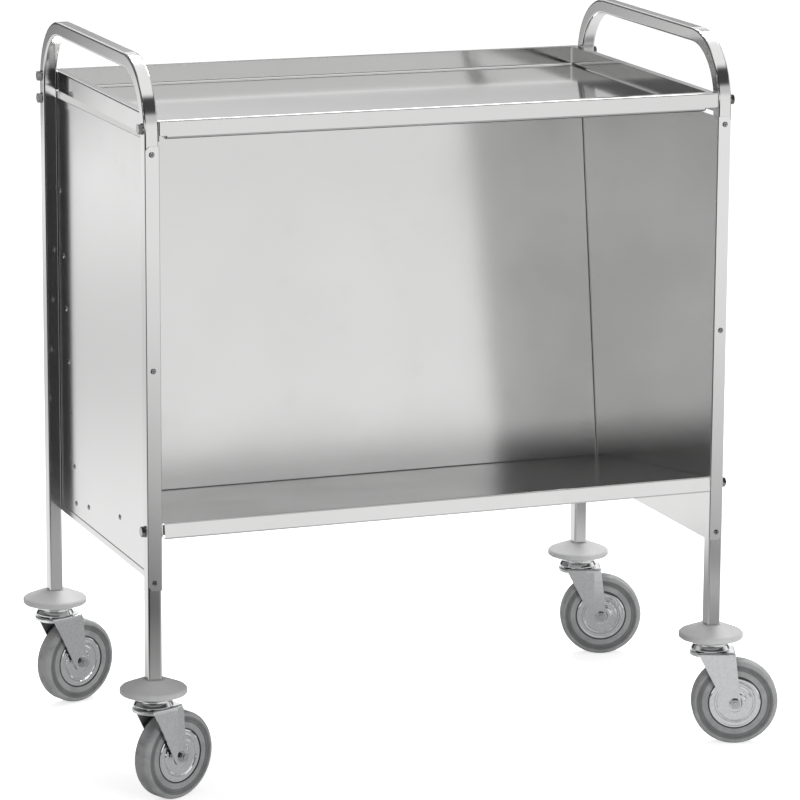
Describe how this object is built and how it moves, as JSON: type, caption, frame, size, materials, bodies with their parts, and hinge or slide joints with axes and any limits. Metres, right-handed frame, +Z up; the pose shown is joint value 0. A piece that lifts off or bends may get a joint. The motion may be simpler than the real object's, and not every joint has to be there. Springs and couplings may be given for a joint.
{
  "type": "plate trolley",
  "caption": "Stainless plate trolley on swivel castors, with a flat top tray between two tube handles, and an open-fronted compartment whose shelf slopes back to a leaning back.",
  "frame": {"origin": "on the floor under the middle of the four legs", "axes": "+Z up, -Y towards the open front, +X to the right seen from the front"},
  "size_m": [0.9826, 0.5893, 1.032],
  "materials": {
    "stainless": "satin",
    "fastener": "satin",
    "zinc": "bright zinc plate",
    "ball_steel": "oiled",
    "tyre": "matte grey rubber",
    "hub": "moulded",
    "bumper": "moulded grey",
    "plug": "moulded black"
  },
  "bodies": {
    "carcass": {"left_frame": "stainless", "right_frame": "stainless", "left_side_panel": "stainless", "right_side_panel": "stainless", "back_panel": "stainless", "plate_shelf": "stainless", "top_tray": "stainless", "frame_bolts": "fastener", "frame_washers": "fastener", "frame_nuts": "fastener", "flange_rivets": "fastener", "back_rivets": "fastener", "shelf_rivets": "fastener", "front_left_bumper": "bumper", "front_left_socket_plug": "plug", "front_left_castor_head": "zinc", "rear_left_bumper": "bumper", "rear_left_socket_plug": "plug", "rear_left_castor_head": "zinc", "front_right_bumper": "bumper", "front_right_socket_plug": "plug", "front_right_castor_head": "zinc", "rear_right_bumper": "bumper", "rear_right_socket_plug": "plug", "rear_right_castor_head": "zinc"},
    "front_left_castor": {"front_left_fork": "zinc", "front_left_balls": "ball_steel", "front_left_axle_sleeve": "ball_steel", "front_left_axle_bolt": "zinc", "front_left_axle_nut": "zinc"},
    "front_left_wheel": {"front_left_hub": "hub", "front_left_wheel_discs": "zinc", "front_left_tyre": "tyre"},
    "rear_left_castor": {"rear_left_fork": "zinc", "rear_left_balls": "ball_steel", "rear_left_axle_sleeve": "ball_steel", "rear_left_axle_bolt": "zinc", "rear_left_axle_nut": "zinc"},
    "rear_left_wheel": {"rear_left_hub": "hub", "rear_left_wheel_discs": "zinc", "rear_left_tyre": "tyre"},
    "front_right_castor": {"front_right_fork": "zinc", "front_right_balls": "ball_steel", "front_right_axle_sleeve": "ball_steel", "front_right_axle_bolt": "zinc", "front_right_axle_nut": "zinc"},
    "front_right_wheel": {"front_right_hub": "hub", "front_right_wheel_discs": "zinc", "front_right_tyre": "tyre"},
    "rear_right_castor": {"rear_right_fork": "zinc", "rear_right_balls": "ball_steel", "rear_right_axle_sleeve": "ball_steel", "rear_right_axle_bolt": "zinc", "rear_right_axle_nut": "zinc"},
    "rear_right_wheel": {"rear_right_hub": "hub", "rear_right_wheel_discs": "zinc", "rear_right_tyre": "tyre"}
  },
  "joints": [
    {"name": "front_left_swivel", "type": "hinge", "parent": "carcass", "child": "front_left_castor", "pos_m": [-0.42, -0.248, 0.139], "axis": [0, 0, 1], "continuous": true},
    {"name": "front_left_spin", "type": "hinge", "parent": "front_left_castor", "child": "front_left_wheel", "pos_m": [-0.38729, -0.23296, 0.0625], "axis": [-0.4179, 0.9085, 0], "continuous": true},
    {"name": "rear_left_swivel", "type": "hinge", "parent": "carcass", "child": "rear_left_castor", "pos_m": [-0.42, 0.248, 0.139], "axis": [0, 0, 1], "continuous": true},
    {"name": "rear_left_spin", "type": "hinge", "parent": "rear_left_castor", "child": "rear_left_wheel", "pos_m": [-0.38641, 0.26096, 0.0625], "axis": [-0.36, 0.933, 0], "continuous": true},
    {"name": "front_right_swivel", "type": "hinge", "parent": "carcass", "child": "front_right_castor", "pos_m": [0.42, -0.248, 0.139], "axis": [0, 0, 1], "continuous": true},
    {"name": "front_right_spin", "type": "hinge", "parent": "front_right_castor", "child": "front_right_wheel", "pos_m": [0.45381, -0.26037, 0.0625], "axis": [0.3437, 0.9391, 0], "continuous": true},
    {"name": "rear_right_swivel", "type": "hinge", "parent": "carcass", "child": "rear_right_castor", "pos_m": [0.42, 0.248, 0.139], "axis": [0, 0, 1], "continuous": true},
    {"name": "rear_right_spin", "type": "hinge", "parent": "rear_right_castor", "child": "rear_right_wheel", "pos_m": [0.45414, 0.23658, 0.0625], "axis": [0.3173, 0.9483, 0], "continuous": true}
  ]
}
